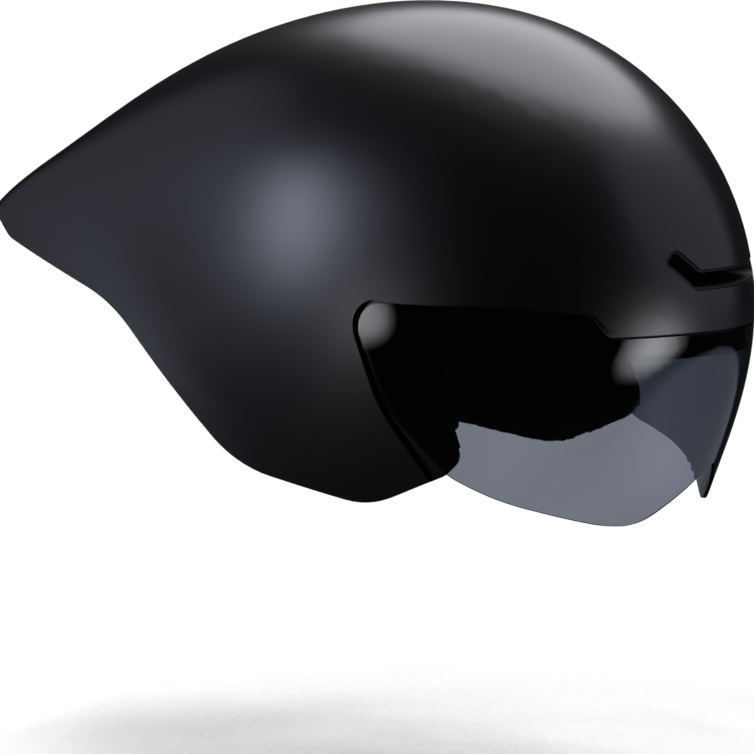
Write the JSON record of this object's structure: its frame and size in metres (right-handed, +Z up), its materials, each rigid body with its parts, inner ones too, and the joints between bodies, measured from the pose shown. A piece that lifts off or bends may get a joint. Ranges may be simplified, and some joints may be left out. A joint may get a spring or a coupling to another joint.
{
  "type": "aero time trial helmet",
  "caption": "Teardrop time trial helmet: smooth shell over a foam liner, wrap-around magnetic smoke visor, brow vent slot, ducted tail, pads, straps and nape dial.",
  "frame": {"origin": "middle of the wearer's head, on the line through both ears", "axes": "+X to the wearer's left, -Y forward, +Y back along the tail, +Z up"},
  "size_m": [0.1788, 0.3954, 0.2215],
  "materials": {
    "shell_black": "smooth satin black",
    "foam_black": "fine beaded foam, black",
    "black_plastic": "fine matte moulding",
    "duct_plastic": "matte moulding",
    "smoke_lens": "smooth smoke tint",
    "seal_rubber": "matte",
    "magnet_steel": "nickel plated",
    "screw_steel": "black oxide",
    "pad_fabric": "brushed knit",
    "webbing": "woven",
    "buckle_plastic": "moulded",
    "knob_rubber": "ribbed",
    "pinion_plastic": "acetal"
  },
  "bodies": {
    "helmet": {"outer_shell": "shell_black", "eps_liner": "foam_black", "tail_panel": "black_plastic", "height_rail": "black_plastic", "arm_left": "black_plastic", "arm_right": "black_plastic", "temple_anchor_left": "black_plastic", "temple_anchor_right": "black_plastic", "strap_anchor_front_left": "black_plastic", "strap_anchor_front_right": "black_plastic", "strap_anchor_rear_left": "black_plastic", "strap_anchor_rear_right": "black_plastic", "strap_slide_left": "black_plastic", "strap_slide_right": "black_plastic", "tail_screws": "screw_steel", "vent_duct": "duct_plastic", "brow_seal": "seal_rubber", "shell_magnet_left": "magnet_steel", "shell_magnet_right": "magnet_steel", "brow_pad": "pad_fabric", "crown_pad_front": "pad_fabric", "crown_pad_left": "pad_fabric", "crown_pad_right": "pad_fabric", "temple_pad_left": "pad_fabric", "temple_pad_right": "pad_fabric", "front_strap_left": "webbing", "front_strap_right": "webbing", "rear_strap_left": "webbing", "rear_strap_right": "webbing", "chin_strap_left": "webbing", "chin_strap_right": "webbing", "buckle_socket": "buckle_plastic"},
    "visor": {"visor_lens": "smoke_lens", "lens_magnet_left": "magnet_steel", "lens_magnet_right": "magnet_steel"},
    "cradle": {"cradle_yoke": "black_plastic", "cradle_stud": "black_plastic", "nape_pad": "pad_fabric", "dial_cover": "black_plastic"},
    "dial": {"dial_knob": "knob_rubber", "dial_pinion": "pinion_plastic", "dial_screw": "screw_steel"},
    "band_left": {"band_left": "black_plastic"},
    "band_right": {"band_right": "black_plastic"},
    "tongue": {"buckle_tongue": "buckle_plastic"}
  },
  "joints": [
    {"name": "visor_pull", "type": "slide", "parent": "helmet", "child": "visor", "axis": [0, -1, 0], "range_m": [0, 0.16]},
    {"name": "cradle_height", "type": "slide", "parent": "helmet", "child": "cradle", "axis": [0, 0, 1], "range_m": [-0.008, 0.008], "deforming": ["arm_left", "arm_right"]},
    {"name": "dial_turn", "type": "hinge", "parent": "cradle", "child": "dial", "pos_m": [0, 0.09527, -0.014], "axis": [0, 1, 0], "range_deg": [-90.5, 90.5]},
    {"name": "band_left_pull", "type": "hinge", "parent": "cradle", "child": "band_left", "pos_m": [0, 0.03087, -0.014], "axis": [0, 0, 1], "range_deg": [-7, 7]},
    {"name": "band_right_pull", "type": "hinge", "parent": "cradle", "child": "band_right", "pos_m": [0, 0.03087, -0.014], "axis": [0, 0, 1], "range_deg": [-7.1, 7.1]},
    {"name": "buckle_release", "type": "slide", "parent": "helmet", "child": "tongue", "axis": [0.3746, 0, -0.9272], "range_m": [0, 0.0135], "deforming": ["chin_strap_left"]}
  ],
  "couplings": [
    {"joint": "dial_turn", "follows": "band_left_pull", "ratio": -12.88},
    {"joint": "band_right_pull", "follows": "band_left_pull", "ratio": -1}
  ]
}
